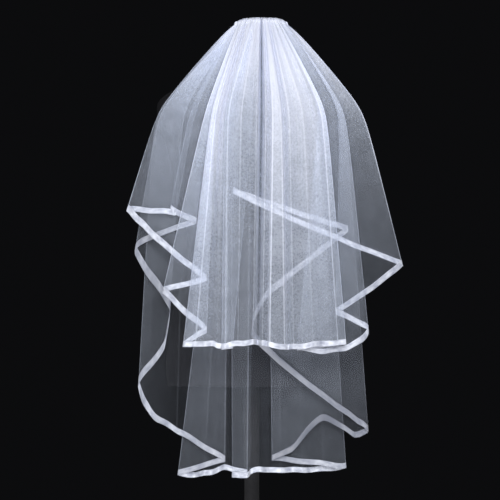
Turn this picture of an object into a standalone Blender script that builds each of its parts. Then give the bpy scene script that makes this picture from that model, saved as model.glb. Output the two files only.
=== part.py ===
"""A two-tier bridal veil of tulle with satin ribbon edges, gathered on a hair comb and hung on a dress form.

The veil is one sheet of tulle, folded where it is gathered. The short half falls outermost as the upper
tier and the long half inside it as the lower tier. Past each end of the gathers the fold runs free, and
both tiers' edges fall from it in zigzags. Lengths in the tables are centimetres. X is to the right as seen
from behind the form, Y points to the form's front, and a drop is a distance below the top of the veil.
"""

from collections import namedtuple

import bmesh
import bpy
import numpy as np

CM = 0.01
VEIL_TOP = 150.0

# The cloth.
TULLE_WALL = 0.10
RIBBON_WALL = 0.10
RIBBON_WIDTH = 1.05
SEAM_GAP = 0.03
RIBBON_SEAM, MOST_SEAM_SLANT = 0.055, 3.5
GATHER_LEFT, GATHER_RIGHT = -3.9, 5.6
GATHER_WAVE = 0.03
COMB_GAP = 0.3
GATHER_FADE = 5.0
SHOULDER_DROP = 18.0
SHOULDER_BEND = 3.0
CREST_DROP = 0.7
CREST_SAG, CREST_SAG_FADE = 0.6, 3.0
FAN_START = 1.2
WRAP_CENTRE, WRAP_BEND = 1.0, 0.011
MOST_RIBBON_SLANT = 2.0

# The dress form. Its axis stands over the middle of the base, and the body leans from there.
FORM_X, FORM_Y = -1.0, 6.3
LEAN = 0.0185
CAP_TOP_DROP, CAP_BOTTOM_DROP, CAP_RADIUS, CAP_EDGE = 1.4, 4.0, 5.8, 0.4
NECK_BACK = 0.8
TORSO_BOTTOM_DROP = 72.0
POLE_RADIUS = 1.45
BASE_RADIUS, BASE_HEIGHT, BASE_EDGE = 17.0, 1.6, 0.5
COLLAR_RADIUS, COLLAR_HEIGHT = 2.6, 4.5
ROUND_SIDES = 32

# The comb.
COMB_LEFT, COMB_RIGHT = -3.6, 5.3
COMB_BAR_DEPTH, COMB_THICKNESS = 0.6, 0.3
TOOTH_COUNT, TOOTH_LENGTH, TOOTH_SHARE = 18, 3.4, 0.45

# What the cloth does at a fold line: it waves on, doubles back with its edge pointed, or doubles back in
# a round roll.
WAVE, CREASE, ROLL = range(3)
# How much of its slope the cloth's edge keeps as it passes such a line.
EDGE_SLOPE = {WAVE: 1.0, CREASE: 0.0, ROLL: 0.5}

Fold = namedtuple("Fold", "shoulder_x hem_x hem_drop layer turn")

# One row for each fold line, from the free fold on the left to the free fold on the right. shoulder_x is
# where the line passes the shoulders and hem_x and hem_drop where it ends. layer is how far in front of the
# outermost cloth it lies, by the shoulders.
UPPER_FOLDS = [
    Fold(-18.6, -25.4, 37.8, 2.90, CREASE),
    Fold(-8.0, -9.7, 51.4, 2.10, CREASE),
    Fold(-9.8, -18.3, 53.6, 1.55, CREASE),
    Fold(-7.7, -9.7, 61.3, 1.05, CREASE),
    Fold(-8.6, -14.3, 64.0, 0.58, CREASE),
    Fold(-8.0, -12.9, 64.1, 0.15, WAVE),
    Fold(-7.5, -11.3, 64.0, 0.35, WAVE),
    Fold(-6.95, -9.8, 63.9, 0.05, WAVE),
    Fold(-6.3, -8.4, 63.9, 0.75, WAVE),
    Fold(-5.8, -7.3, 64.3, 0.10, WAVE),
    Fold(-5.3, -6.5, 64.4, 0.50, WAVE),
    Fold(-4.25, -5.3, 64.1, 0.00, WAVE),
    Fold(-2.9, -3.7, 63.8, 0.85, WAVE),
    Fold(-1.45, -2.1, 63.7, 0.10, WAVE),
    Fold(0.4, -0.8, 63.6, 0.00, WAVE),
    Fold(1.05, 0.1, 63.6, 1.30, WAVE),
    Fold(1.85, 1.2, 63.7, 0.05, WAVE),
    Fold(2.6, 2.5, 64.1, 0.60, WAVE),
    Fold(3.75, 3.9, 64.4, 0.00, WAVE),
    Fold(4.75, 5.2, 64.6, 0.70, WAVE),
    Fold(6.0, 7.0, 64.5, 0.00, WAVE),
    Fold(7.25, 8.9, 64.3, 0.42, WAVE),
    Fold(8.6, 10.8, 64.0, 0.00, WAVE),
    Fold(9.95, 12.7, 63.9, 0.40, WAVE),
    Fold(11.1, 14.5, 63.8, 0.10, WAVE),
    Fold(12.0, 15.9, 63.7, 0.30, WAVE),
    Fold(12.75, 17.2, 63.6, 0.45, CREASE),
    Fold(11.5, 7.7, 64.6, 1.05, CREASE),
    Fold(13.3, 13.1, 65.3, 1.30, WAVE),
    Fold(15.4, 18.9, 64.1, 1.50, WAVE),
    Fold(16.5, 21.6, 61.2, 1.75, ROLL),
    Fold(15.3, 15.2, 57.8, 2.22, CREASE),
    Fold(20.0, 28.4, 48.5, 2.90, CREASE),
]
LOWER_FOLDS = [
    Fold(-18.6, -25.4, 37.8, 2.90, CREASE),
    Fold(-11.6, -15.8, 38.6, 3.40, CREASE),
    Fold(-12.6, -16.9, 37.4, 3.80, CREASE),
    Fold(-9.5, -11.8, 40.3, 4.25, CREASE),
    Fold(-18.2, -23.8, 45.6, 4.75, CREASE),
    Fold(-13.7, -16.9, 57.5, 5.25, ROLL),
    Fold(-14.8, -17.9, 64.2, 5.50, WAVE),
    Fold(-18.8, -23.1, 71.9, 5.75, ROLL),
    Fold(-16.9, -20.8, 77.6, 6.00, WAVE),
    Fold(-5.6, -6.2, 86.4, 6.45, CREASE),
    Fold(-6.6, -15.4, 89.2, 6.90, CREASE),
    Fold(-6.3, -13.7, 89.5, 7.15, WAVE),
    Fold(-5.9, -12.1, 89.6, 7.60, WAVE),
    Fold(-5.5, -10.4, 89.3, 7.10, WAVE),
    Fold(-5.0, -8.9, 89.0, 7.75, WAVE),
    Fold(-4.5, -7.5, 88.5, 7.15, WAVE),
    Fold(-3.9, -6.2, 88.2, 7.90, WAVE),
    Fold(-3.3, -4.9, 89.5, 7.20, WAVE),
    Fold(-1.9, -3.3, 89.7, 7.40, WAVE),
    Fold(-0.95, -1.75, 89.5, 7.20, WAVE),
    Fold(-0.2, -1.1, 88.9, 8.15, WAVE),
    Fold(0.95, 0.6, 88.5, 7.75, WAVE),
    Fold(2.2, 2.5, 88.6, 8.80, WAVE),
    Fold(3.6, 4.6, 88.7, 8.45, WAVE),
    Fold(4.9, 6.75, 88.6, 9.05, WAVE),
    Fold(6.3, 8.9, 88.7, 8.60, WAVE),
    Fold(7.6, 11.0, 88.6, 9.15, WAVE),
    Fold(9.0, 13.1, 88.5, 8.80, WAVE),
    Fold(10.4, 15.2, 88.3, 9.10, WAVE),
    Fold(11.8, 17.4, 88.0, 8.60, CREASE),
    Fold(2.3, 2.9, 86.2, 7.70, CREASE),
    Fold(5.5, 6.4, 84.8, 7.40, WAVE),
    Fold(8.5, 13.0, 78.6, 7.18, WAVE),
    Fold(13.5, 19.3, 81.8, 6.92, WAVE),
    Fold(16.2, 21.7, 80.7, 6.58, ROLL),
    Fold(1.0, -1.0, 61.8, 5.68, ROLL),
    Fold(3.0, 1.0, 55.9, 5.50, WAVE),
    Fold(15.0, 17.7, 41.8, 4.82, CREASE),
    Fold(-2.1, -4.7, 34.4, 3.87, CREASE),
    Fold(20.0, 28.4, 48.5, 2.90, CREASE),
]

Station = namedtuple("Station", "drop outer_y spread wrap")

# How the whole veil hangs. outer_y is where its outermost cloth is, spread how far apart the layers stand
# there, as a share of the tables' own, and wrap how far its sides come forward round the form, as a share of
# the full bend.
HANG = [
    Station(0.0, -3.98, 0.36, 0.0),
    Station(0.8, -4.03, 0.38, 0.0),
    Station(1.6, -4.59, 0.45, 0.0),
    Station(3.0, -5.72, 0.56, 0.1),
    Station(6.0, -7.86, 0.67, 0.2),
    Station(11.0, -10.40, 0.78, 0.5),
    Station(17.0, -12.30, 0.92, 0.8),
    Station(25.0, -13.70, 1.00, 1.0),
    Station(35.0, -14.80, 1.10, 1.0),
    Station(64.0, -16.90, 1.33, 1.0),
    Station(92.0, -17.70, 1.42, 1.0),
]

Section = namedtuple("Section", "drop half_width front back")

# The form's body, a row for each section. front and back are its reach from the form's axis.
TORSO = [
    Section(4.03, 5.6, 5.0, 6.4),
    Section(7.0, 5.8, 5.2, 6.6),
    Section(9.0, 6.9, 5.8, 7.0),
    Section(11.0, 9.8, 6.6, 7.6),
    Section(13.0, 14.2, 7.4, 8.2),
    Section(15.0, 18.3, 8.2, 8.7),
    Section(17.0, 19.7, 8.9, 8.9),
    Section(20.0, 19.6, 9.8, 9.4),
    Section(26.0, 17.4, 11.4, 10.0),
    Section(32.0, 16.0, 12.0, 9.8),
    Section(38.0, 14.2, 10.8, 9.2),
    Section(44.0, 13.0, 9.6, 8.8),
    Section(52.0, 14.4, 10.0, 9.4),
    Section(60.0, 16.4, 10.6, 10.4),
    Section(68.0, 17.0, 10.6, 10.6),
    Section(72.0, 16.6, 10.3, 10.3),
]
TORSO_SQUARENESS = 2.3

# Where the solids have their rows, as shares of a tier's drop, and their columns, as shares of the way
# between two folds.
TIER_ROWS = (0.0, 0.012, 0.03, 0.065, 0.12, 0.20, 0.33, 0.50, 0.74, 1.0)
CREST_ROWS = (0.0, 0.5)
TURN_COLUMNS = (0.0, 0.12, 0.32, 0.68, 0.88)
WAVE_COLUMNS = (0.0, 0.5)

# The steps over which the cloth's slope is read, and the drop by which a fold's wall follows it.
COLUMN_STEP, DROP_STEP = 0.004, 0.02
NORMAL_START = 1.2


def cubic(start, end, start_rate, end_rate, share):
    """A cubic from start to end, with the given rates at its two ends."""
    rise = share * share * (3 - 2 * share)
    return (
        start * (1 - rise)
        + end * rise
        + start_rate * share * (1 - share) ** 2
        + end_rate * share**2 * (share - 1)
    )


def shared_rate(before, after):
    """The rate at a point between two steps: their harmonic mean, or none where they run opposite ways."""
    same_way = before * after > 0
    return np.where(same_way, 2 * before * after / np.where(same_way, before + after, 1), 0)


def smooth_curve(stations, values, at):
    """A smooth curve through the values at these stations that adds no bumps."""
    widths = np.diff(stations)
    slopes = np.diff(values) / widths
    rates = np.concatenate([slopes[:1], shared_rate(slopes[:-1], slopes[1:]), slopes[-1:]])
    step = np.clip(np.searchsorted(stations, at) - 1, 0, len(widths) - 1)
    share = (at - stations[step]) / widths[step]
    start_rate = rates[step] * widths[step]
    return cubic(values[step], values[step + 1], start_rate, rates[step + 1] * widths[step], share)


def hang(field, drop):
    """A column of the HANG table, at these drops."""
    return smooth_curve(table_column(HANG, "drop"), table_column(HANG, field), drop)


def table_column(table, field):
    return np.array([getattr(row, field) for row in table], float)


def past_shoulder(drop):
    """How far a drop has gone past the shoulder, turning smoothly there."""
    below = drop - SHOULDER_DROP
    at_top = np.hypot(SHOULDER_DROP, SHOULDER_BEND) - SHOULDER_DROP
    return (below + np.hypot(below, SHOULDER_BEND) - at_top) / 2


def fold_lines_x(folds, drop):
    """Each fold line's x at these drops: from the gathers, through its shoulder_x, to its hem_x."""
    top, shoulder, hem, hem_drop = (
        values.reshape(-1, 1, 1)
        for values in (
            np.linspace(GATHER_LEFT, GATHER_RIGHT, len(folds)),
            table_column(folds, "shoulder_x"),
            table_column(folds, "hem_x"),
            table_column(folds, "hem_drop"),
        )
    )
    bend_there = past_shoulder(SHOULDER_DROP)
    straight_end = top + (shoulder - top) * hem_drop / SHOULDER_DROP
    turn = (hem - straight_end) / (past_shoulder(hem_drop) - bend_there * hem_drop / SHOULDER_DROP)
    slope = (shoulder - top - bend_there * turn) / SHOULDER_DROP
    fanned = 1 - np.exp(-np.maximum(drop - CREST_DROP, 0) / FAN_START)
    return top + (slope * drop + turn * past_shoulder(drop)) * fanned


def fold_lines_y(folds, side, drop):
    """Each fold line's y at these drops, before the wrap. The gathers fade below it, and so does the gap over
    the comb."""
    layer = table_column(folds, "layer").reshape(-1, 1, 1)
    count = np.arange(len(folds))
    from_end = np.minimum(count, count[::-1])
    apart = side * COMB_GAP * (1 - np.exp(-from_end))
    waves = np.where(from_end > 0, GATHER_WAVE * (-1.0) ** count, 0)
    fade = np.exp(-drop / GATHER_FADE)
    return hang("outer_y", drop) + hang("spread", drop) * layer + (apart + waves).reshape(-1, 1, 1) * fade


def fold_rates(values, turns):
    """The rates at both ends of each step between folds. A turn's are steep, which rounds the fold."""
    steps = np.diff(values, axis=0)
    inner = shared_rate(steps[:-1], steps[1:])
    none = np.zeros_like(steps[:1])
    rates = np.concatenate([none, inner, none])
    if turns is None:
        return rates[:-1], rates[1:]
    steep = turns.reshape((-1,) + (1,) * (values.ndim - 1))
    return np.where(steep[:-1], 3 * steps, rates[:-1]), np.where(steep[1:], 3 * steps, rates[1:])


def between_folds(values, rates, column):
    """Reads a quantity known on the fold lines at these fractional columns."""
    first = np.minimum(column.astype(int), len(values) - 2)
    share = column - first
    starts, ends = rates
    places = np.broadcast_to(first, values.shape[1:])[None]
    start, end, start_rate, end_rate = (
        np.take_along_axis(array, places + shift, 0)[0]
        for array, shift in ((values, 0), (values, 1), (starts, 0), (ends, 0))
    )
    return cubic(start, end, start_rate, end_rate, share)


def hem_drops(folds, column):
    """The drop of the cloth's edge. It is pointed at each crease, and smooth along the waves and rolls."""
    drops = np.repeat(table_column(folds, "hem_drop")[:, None], len(column), axis=1)
    kept = np.array([[EDGE_SLOPE[fold.turn]] for fold in folds])
    starts, ends = fold_rates(drops, None)
    return between_folds(drops, (starts * kept[:-1], ends * kept[1:]), column)


def cloth_points(folds, side, column, drop):
    """Points of the cloth's middle at these columns and drops. Above CREST_DROP it rounds over to the other
    tier, and the gathers' ends sag a little."""
    turns = np.array([fold.turn != WAVE for fold in folds])
    hanging = np.maximum(drop, CREST_DROP)
    x = fold_lines_x(folds, hanging)
    y = fold_lines_y(folds, side, hanging)
    across = between_folds(x, fold_rates(x, None), column)
    deep = between_folds(y, fold_rates(y, turns), column)
    deep = deep + WRAP_BEND * hang("wrap", hanging) * (across - WRAP_CENTRE) ** 2
    seam = y[0] + (y[-1] - y[0]) * column / (len(folds) - 1) + side * SEAM_GAP / 2
    angle = np.minimum(drop / CREST_DROP, 1) * np.pi / 2
    deep = seam + (deep - seam) * np.sin(angle)
    off_middle = 2 * column / (len(folds) - 1) - 1
    sag = CREST_SAG * off_middle**4 * np.exp(-hanging / CREST_SAG_FADE)
    return np.stack([across, deep, CREST_DROP * np.cos(angle) - hanging - sag], axis=-1)


def cloth_grid(folds, side, column, drop):
    """A tier's points and normals. Along a seam they lie in it, so that its two sides face each other. In the
    gathers they stay near the tier's own way, because the wall is too thick to follow each one."""
    last = len(folds) - 1
    points = cloth_points(folds, side, column, drop)
    ahead, behind = (
        cloth_points(folds, side, np.clip(column + step, 0, last), drop)
        for step in (COLUMN_STEP, -COLUMN_STEP)
    )
    lower, upper = (
        cloth_points(folds, side, column, np.maximum(drop + step, 0))
        for step in (DROP_STEP, -DROP_STEP)
    )
    normals = np.cross(ahead - behind, lower - upper)
    normals /= np.linalg.norm(normals, axis=-1, keepdims=True)
    angle = np.minimum(drop / CREST_DROP, 1) * np.pi / 2
    plain = np.stack([0 * angle, side * np.sin(angle), np.cos(angle)], axis=-1)
    ways = np.sign((normals * plain).sum(axis=-1, keepdims=True))
    turning = np.interp(column, np.arange(last + 1), [fold.turn != WAVE for fold in folds])
    soon, late = 1 - np.exp(-((drop / NORMAL_START) ** 2)), 1 - np.exp(-drop / GATHER_FADE)
    share = turning * soon + (1 - turning) * late
    normals = normals * share[..., None] + ways * plain * (1 - share[..., None])
    at_end = (column == 0) | (column == last)
    normals[..., 1] = np.where(at_end | (drop == 0), 0, normals[..., 1])
    points[..., 1] += np.where(at_end & (drop > 0), side * SEAM_GAP / 2, 0)
    return points, normals / np.linalg.norm(normals, axis=-1, keepdims=True)


def columns_of(folds, turn_columns, wave_columns):
    """Fractional columns for a whole tier, closer together where the cloth doubles back."""
    columns = []
    for i in range(len(folds) - 1):
        waving = folds[i].turn == folds[i + 1].turn == WAVE
        shares = wave_columns if waving else turn_columns
        columns += [i + share for share in shares]
    return np.array(columns + [len(folds) - 1.0])


def ribbon_drops(folds, side, column):
    """How far up from the cloth's edge the ribbon reaches, longer where the edge slants from fold to fold."""
    count = np.arange(len(folds))
    hem = table_column(folds, "hem_drop")
    edge = cloth_points(folds, side, count.astype(float), hem.reshape(1, -1))[0]
    slant = np.hypot(1, np.diff(hem) / np.linalg.norm(np.diff(edge[:, :2], axis=0), axis=-1))
    return RIBBON_WIDTH * np.interp(column, count[:-1] + 0.5, np.minimum(slant, MOST_RIBBON_SLANT))


def edge_slant(folds, side, column):
    """How much longer a step along the cloth's edge is than its level part."""
    hem = hem_drops(folds, column)
    edge = cloth_points(folds, side, column, hem.reshape(1, -1))[0]
    along = np.hypot(np.gradient(edge[:, 0], column), np.gradient(edge[:, 1], column))
    return np.hypot(1, np.gradient(hem, column) / along)


def tier_drops(folds, side, column, crest_rows, rows):
    """The drops of a tier's rows, from the crest to just above its ribbon."""
    seam = RIBBON_SEAM * np.minimum(edge_slant(folds, side, column), MOST_SEAM_SLANT)
    bottom = hem_drops(folds, column) - ribbon_drops(folds, side, column) - seam
    hanging = CREST_DROP + rows.reshape(-1, 1) * (bottom - CREST_DROP)
    return np.concatenate([CREST_DROP * crest_rows.reshape(-1, 1) + 0 * column, hanging])


def ribbon_rows(folds, side, column, rows):
    """The drops of a ribbon's rows."""
    hem = hem_drops(folds, column)
    return hem - (1 - rows.reshape(-1, 1)) * ribbon_drops(folds, side, column)


def wall(name, points, normals, thickness):
    """A closed wall of this thickness whose middle is the grid of points."""
    rows, columns = points.shape[:2]
    mesh = bmesh.new()
    skins = []
    for way in (0.5, -0.5):
        moved = place(points + way * thickness * normals)
        skins.append([[mesh.verts.new(point) for point in row] for row in moved])
    front, back = skins

    def add(a, b, c, d):
        mesh.faces.new((a, b, c))
        mesh.faces.new((a, c, d))

    for i in range(rows - 1):
        for j in range(columns - 1):
            add(front[i][j], front[i + 1][j], front[i + 1][j + 1], front[i][j + 1])
            add(back[i][j], back[i][j + 1], back[i + 1][j + 1], back[i + 1][j])
    for j in range(columns - 1):
        add(front[0][j], front[0][j + 1], back[0][j + 1], back[0][j])
        add(front[-1][j], back[-1][j], back[-1][j + 1], front[-1][j + 1])
    for i in range(rows - 1):
        add(front[i][0], back[i][0], back[i + 1][0], front[i + 1][0])
        add(front[i][-1], front[i + 1][-1], back[i + 1][-1], back[i][-1])
    return finished(name, mesh)


def place(points):
    """Points in the part's frame, in metres, from centimetres measured from the top of the veil."""
    return (np.asarray(points) - (FORM_X, FORM_Y, -VEIL_TOP)) * CM


def finished(name, mesh):
    """An object from the bmesh, with its faces turned out and shaded smooth."""
    if mesh.calc_volume(signed=True) < 0:
        bmesh.ops.reverse_faces(mesh, faces=mesh.faces)
    data = bpy.data.meshes.new(name)
    mesh.to_mesh(data)
    mesh.free()
    data.shade_smooth()
    data.set_sharp_from_angle(angle=np.radians(40))
    item = bpy.data.objects.new(name, data)
    bpy.context.scene.collection.objects.link(item)
    return item


def finish_as(item, colour, roughness, metallic=0.0, alpha=1.0):
    """Gives an object a material of its own."""
    material = bpy.data.materials.new(item.name)
    material.use_nodes = True
    shader = material.node_tree.nodes["Principled BSDF"]
    shader.inputs["Base Color"].default_value = (*colour, 1)
    shader.inputs["Roughness"].default_value = roughness
    shader.inputs["Metallic"].default_value = metallic
    shader.inputs["Alpha"].default_value = alpha
    item.data.materials.append(material)


def lofted(name, rings):
    """A closed solid through rings with the same number of points, top ring first."""
    mesh = bmesh.new()
    loops = [[mesh.verts.new(point) for point in place(ring)] for ring in rings]
    for upper, lower in zip(loops, loops[1:]):
        for j in range(len(upper)):
            following = (j + 1) % len(upper)
            mesh.faces.new((upper[j], lower[j], lower[following], upper[following]))
    mesh.faces.new(loops[0])
    mesh.faces.new(loops[-1][::-1])
    return finished(name, mesh)


def round_angles():
    return np.arange(ROUND_SIDES) * 2 * np.pi / ROUND_SIDES


def turned(name, x, y, profile):
    """A solid turned about an upright axis, from rows of radius and drop."""
    angle = round_angles()
    rings = []
    for radius, drop in profile:
        ring = [x + radius * np.cos(angle), y + radius * np.sin(angle), np.full(ROUND_SIDES, -drop)]
        rings.append(np.stack(ring, axis=-1))
    return lofted(name, rings)


def rounded_edge(radius, drop, size, steps):
    """Rows of a turned profile that round off its upper edge."""
    angles = np.linspace(0, np.pi / 2, steps + 1)
    return [(radius - size * (1 - np.sin(angle)), drop + size * (1 - np.cos(angle))) for angle in angles]


def lean_x(drop):
    """Where the leaning form's middle is at a drop."""
    return FORM_X + LEAN * (TORSO_BOTTOM_DROP - drop)


def make_tier(name, folds, side):
    column = columns_of(folds, TURN_COLUMNS, WAVE_COLUMNS)
    drop = tier_drops(folds, side, column, np.array(CREST_ROWS), np.array(TIER_ROWS))
    item = wall(name, *cloth_grid(folds, side, column, drop), TULLE_WALL)
    finish_as(item, (0.88, 0.91, 1.0), 0.7, alpha=0.35)


def make_ribbon(name, folds, side):
    column = columns_of(folds, TURN_COLUMNS, WAVE_COLUMNS)
    drop = ribbon_rows(folds, side, column, np.array([0.0, 1.0]))
    item = wall(name, *cloth_grid(folds, side, column, drop), RIBBON_WALL)
    finish_as(item, (0.93, 0.93, 0.97), 0.35)


def make_comb():
    """A bar behind the gathers with teeth that reach forward over the neck cap."""
    drops = np.array([[CREST_DROP], [CAP_TOP_DROP]])
    column = columns_of(LOWER_FOLDS, TURN_COLUMNS, WAVE_COLUMNS)
    cloth = cloth_points(LOWER_FOLDS, 1, column, drops + 0 * column)
    back = cloth[..., 1].max() + TULLE_WALL / 2 + SEAM_GAP
    front = back + COMB_BAR_DEPTH
    outline = [(COMB_RIGHT, front), (COMB_RIGHT, back), (COMB_LEFT, back), (COMB_LEFT, front)]
    pitch = (COMB_RIGHT - COMB_LEFT) / TOOTH_COUNT
    tip_y = front + TOOTH_LENGTH
    for i in range(TOOTH_COUNT):
        middle = COMB_LEFT + (i + 0.5) * pitch
        root, tip = pitch * TOOTH_SHARE / 2, pitch * TOOTH_SHARE / 4
        outline += [(middle - root, front), (middle - tip, tip_y)]
        outline += [(middle + tip, tip_y), (middle + root, front)]
    bottom = CAP_TOP_DROP - SEAM_GAP
    rings = [[(x, y, -drop) for x, y in outline] for drop in (bottom - COMB_THICKNESS, bottom)]
    item = lofted("comb", rings)
    finish_as(item, (0.85, 0.87, 0.9), 0.2, alpha=0.6)


def make_form():
    """The neck cap, body, pole and base that the veil is shown on."""
    neck_y = FORM_Y - NECK_BACK
    cap = rounded_edge(CAP_RADIUS, CAP_TOP_DROP, CAP_EDGE, 2) + [(CAP_RADIUS, CAP_BOTTOM_DROP)]
    finish_as(turned("neck_cap", lean_x(CAP_TOP_DROP), neck_y, cap), (0.02, 0.02, 0.025), 0.4)

    angle = round_angles()
    power = 2 / TORSO_SQUARENESS
    across = np.sign(np.cos(angle)) * np.abs(np.cos(angle)) ** power
    deep = np.sign(np.sin(angle)) * np.abs(np.sin(angle)) ** power
    rings = []
    for row in TORSO:
        reach = np.where(deep > 0, row.front, row.back)
        x, y = lean_x(row.drop) + row.half_width * across, FORM_Y + reach * deep
        rings.append(np.stack([x, y, np.full(ROUND_SIDES, -row.drop)], axis=-1))
    finish_as(lofted("torso", rings), (0.02, 0.02, 0.025), 0.9)

    base_top = VEIL_TOP - BASE_HEIGHT
    collar_top = base_top - COLLAR_HEIGHT
    base = [(COLLAR_RADIUS, collar_top), (COLLAR_RADIUS, base_top)]
    base += rounded_edge(BASE_RADIUS, base_top, BASE_EDGE, 1) + [(BASE_RADIUS, VEIL_TOP)]
    finish_as(turned("base", FORM_X, FORM_Y, base), (0.03, 0.03, 0.03), 0.45, metallic=0.3)
    pole = [(POLE_RADIUS, TORSO_BOTTOM_DROP + SEAM_GAP), (POLE_RADIUS, collar_top - SEAM_GAP)]
    finish_as(turned("pole", FORM_X, FORM_Y, pole), (0.03, 0.03, 0.035), 0.4, metallic=0.5)


def main():
    for item in list(bpy.data.objects):
        bpy.data.objects.remove(item)
    make_form()
    make_comb()
    make_tier("upper_tier", UPPER_FOLDS, -1)
    make_tier("lower_tier", LOWER_FOLDS, 1)
    make_ribbon("upper_ribbon", UPPER_FOLDS, -1)
    make_ribbon("lower_ribbon", LOWER_FOLDS, 1)


main()
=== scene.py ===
"""The looks of a two-tier bridal veil on a dress form: sheer tulle, satin ribbon edges and the form.

The tables and functions that shape the cloth are those of the solids, read at more points and with finer
pleats. Their lengths are centimetres: x to the right as seen from behind the form, y to its front, and drops
below the top of the veil.
"""

from collections import namedtuple

import bmesh
import bpy
import numpy as np
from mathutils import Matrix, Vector


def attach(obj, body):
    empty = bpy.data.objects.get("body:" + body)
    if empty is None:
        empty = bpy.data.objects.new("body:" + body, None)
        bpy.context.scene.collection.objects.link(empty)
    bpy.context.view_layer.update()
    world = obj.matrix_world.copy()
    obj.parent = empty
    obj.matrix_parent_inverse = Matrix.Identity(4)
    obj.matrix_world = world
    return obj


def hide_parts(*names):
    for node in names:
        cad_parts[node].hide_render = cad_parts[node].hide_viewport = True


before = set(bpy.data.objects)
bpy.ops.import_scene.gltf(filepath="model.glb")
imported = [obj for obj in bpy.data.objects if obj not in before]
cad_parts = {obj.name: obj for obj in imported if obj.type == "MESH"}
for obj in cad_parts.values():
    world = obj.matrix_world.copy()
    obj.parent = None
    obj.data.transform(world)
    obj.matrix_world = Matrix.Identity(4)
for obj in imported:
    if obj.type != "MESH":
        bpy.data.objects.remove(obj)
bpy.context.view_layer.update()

CM = 0.01
VEIL_TOP = 150.0

# The cloth.
RIBBON_WIDTH = 1.05
GATHER_LEFT, GATHER_RIGHT = -3.9, 5.6
GATHER_WAVE = 0.03
COMB_GAP = 0.3
GATHER_FADE = 5.0
SHOULDER_DROP = 18.0
SHOULDER_BEND = 3.0
CREST_DROP = 0.7
CREST_SAG, CREST_SAG_FADE, CREST_SHARE = 1.05, 2.6, 0.92
CREST_SCALLOP, SCALLOP_PITCH = 0.16, 2.6
FAN_START = 0.35
WRAP_CENTRE, WRAP_BEND = 1.0, 0.011
MOST_RIBBON_SLANT = 2.0
RIBBON_HALF_WALL = 0.045
PUCKER_DEPTH, PUCKER_LENGTH, PUCKER_DRIFT = 0.035, 1.9, 7.3
PUCKER_UNEVEN, PUCKER_PATCH, LEAST_PUCKER = 0.4, 3.1, 0.4
TURN_RATE = 3.0

# The ribbon's slow waves along the cloth's edge: their depths and length, how far up they reach, how their
# spacing drifts along the edge and how unevenly deep they are. The dips run at another pace.
EDGE_WAVE, EDGE_DIP, EDGE_WAVE_LENGTH, EDGE_WAVE_REACH = 0.30, 0.13, 6.7, 3.5
EDGE_DRIFT, EDGE_DRIFT_LENGTH = 1.5, 9.1
EDGE_UNEVEN, EDGE_PATCH, EDGE_PATCH_START = 0.35, 5.3, 0.7
DIP_PACE, DIP_START = 1.37, 1.1

# The gathers' waves, in waves to each step between fold lines: their depth as a share of that step, how far
# down they fade and how unevenly they run.
FINE_WAVES, FINE_DEPTH, FINE_FADE = 2.3, 0.12, 14.0
FINE_DRIFTS = ((1.3, 1.7), (0.9, 0.61))
FINE_UNEVEN, FINE_PATCH, FINE_PATCH_START = 0.35, 2.3, 0.8
BROAD_WAVES, BROAD_DEPTH, BROAD_FADE = 0.41, 0.27, 17.0
BROAD_DRIFT = (1.9, 0.47)
BROAD_UNEVEN, BROAD_PATCH = 0.4, 0.9
TROUGH_START, TROUGH_FADE = 2.5, 30.0
LEAST_SPACING, MOST_DENSITY = 0.02, 60.0
GATHERED_GAIN, GATHERED_FADE, FULL_FROM = 11.5, 16.0, 3.2
SMOOTH_COLUMNS = 9

# The dress form.
FORM_X, FORM_Y = -1.0, 6.3
LEAN = 0.0185
CAP_TOP_DROP, CAP_BOTTOM_DROP, CAP_RADIUS, CAP_EDGE = 1.4, 4.0, 5.8, 0.4
NECK_BACK = 0.8
TORSO_BOTTOM_DROP = 72.0
POLE_RADIUS = 1.45
BASE_RADIUS, BASE_HEIGHT, BASE_EDGE = 17.0, 1.6, 0.5
COLLAR_RADIUS, COLLAR_HEIGHT, COLLAR_EDGE = 2.6, 4.5, 0.15
TORSO_SQUARENESS = 2.3
TORSO_RINGS = 110
ROUND_SIDES, EDGE_STEPS, SHARP_DEGREES = 128, 6, 35
SEAM_GAP = 0.03

# How finely the cloth is made: its rows, and its columns between two fold lines.
TIER_ROWS, CREST_ROWS, ROW_CROWDING = 96, 5, 1.35
TURN_COLUMNS, WAVE_COLUMNS = 18, 12

# The net: how much light one thickness stops, and its marks, in cells to the metre. A crease's line is this
# many metres wide.
UPPER_WEIGHT, LOWER_WEIGHT = 0.041, 0.039
NET_CELLS, SPECK_SCALE, PATCH_SCALE = 900.0, 230.0, 35.0
STREAKS_ACROSS, STREAKS_DOWN = 150, 6
SPECKS, PATCHES, STREAKS, THREADS = (0.72, 1.28), (0.88, 1.12), (0.86, 1.14), (1.3, 0.8)
NET_ROUGHNESS, NET_SHEEN, NET_GLOW = 0.75, 0.2, 0.45
CREASE_WIDTH, CREASE_GAIN = 0.0011, 3.2
LEAST_SLOPE = 0.1
THIN_TULLE, DENSE_TULLE = (0.76, 0.84, 1.0, 1), (0.85, 0.88, 0.99, 1)
# The satin's colour runs between a painted shade and its white in bands along the ribbon, for the shade of
# its small twists.
SATIN_SHADE, SATIN_WHITE = (0.27, 0.29, 0.37, 1), (0.66, 0.69, 0.77, 1)
# A painted shade that darkens the ribbon's colour where it lies behind the tulle.
SATIN_PAINTED_SHADE = (0.12, 0.13, 0.165, 1)
SATIN_ROUGHNESS, SATIN_SHEEN, SATIN_GRAIN = 0.38, 0.25, 0.5
# The ribbon's sewn line, as shares of its width, and its stitches to the metre.
STITCH_PLACE, STITCH_HALF_WIDTH, STITCHES, STITCH_SHARE = 0.13, 0.035, 380.0, 0.7

JERSEY_DARK, JERSEY_LIGHT = (0.002, 0.002, 0.003, 1), (0.007, 0.007, 0.009, 1)
JERSEY_RIBS = (900, 900, 260)

# Each hard surface's two colours, roughness, grain in marks to the metre, and how strong its bumps are.
Finish = namedtuple("Finish", "name dark light roughness grain bump")

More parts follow.
